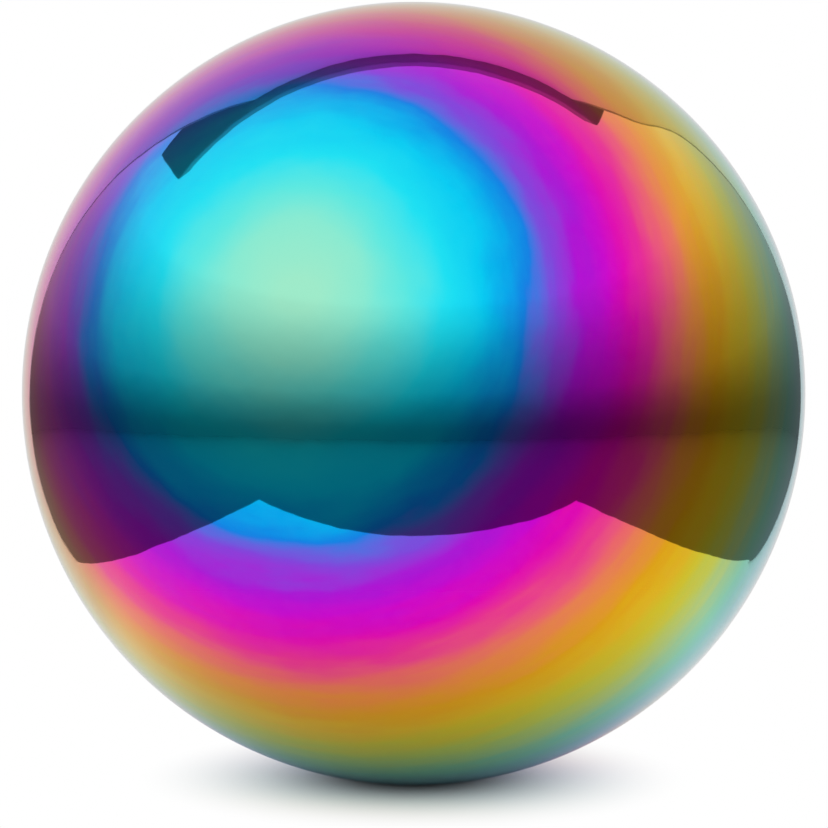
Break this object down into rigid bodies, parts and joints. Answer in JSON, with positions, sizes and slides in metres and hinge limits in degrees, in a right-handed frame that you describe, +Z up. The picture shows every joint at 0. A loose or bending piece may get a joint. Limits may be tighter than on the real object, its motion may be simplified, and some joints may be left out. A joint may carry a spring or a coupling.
{
  "type": "garden gazing ball",
  "caption": "Hollow mirror-polished steel ball with a rainbow coating, a small flat seat to stand on and a rubber vent plug hidden in the seat.",
  "frame": {"origin": "centre of the flat seat under the ball", "axes": "+Z up through the ball's centre, -Y the front"},
  "size_m": [0.254, 0.254, 0.2529],
  "materials": {
    "rainbow_mirror_steel": "mirror polished, with a rainbow interference coating outside and bare pressed steel inside",
    "black_rubber": "moulded satin rubber"
  },
  "bodies": {
    "ball": {"upper_shell": "rainbow_mirror_steel", "lower_shell": "rainbow_mirror_steel", "equator_weld": "rainbow_mirror_steel"},
    "plug": {"vent_plug": "black_rubber"}
  },
  "joints": [
    {"name": "plug_pull", "type": "slide", "parent": "ball", "child": "plug", "axis": [0, 0, -1], "range_m": [0, 0.01]}
  ]
}
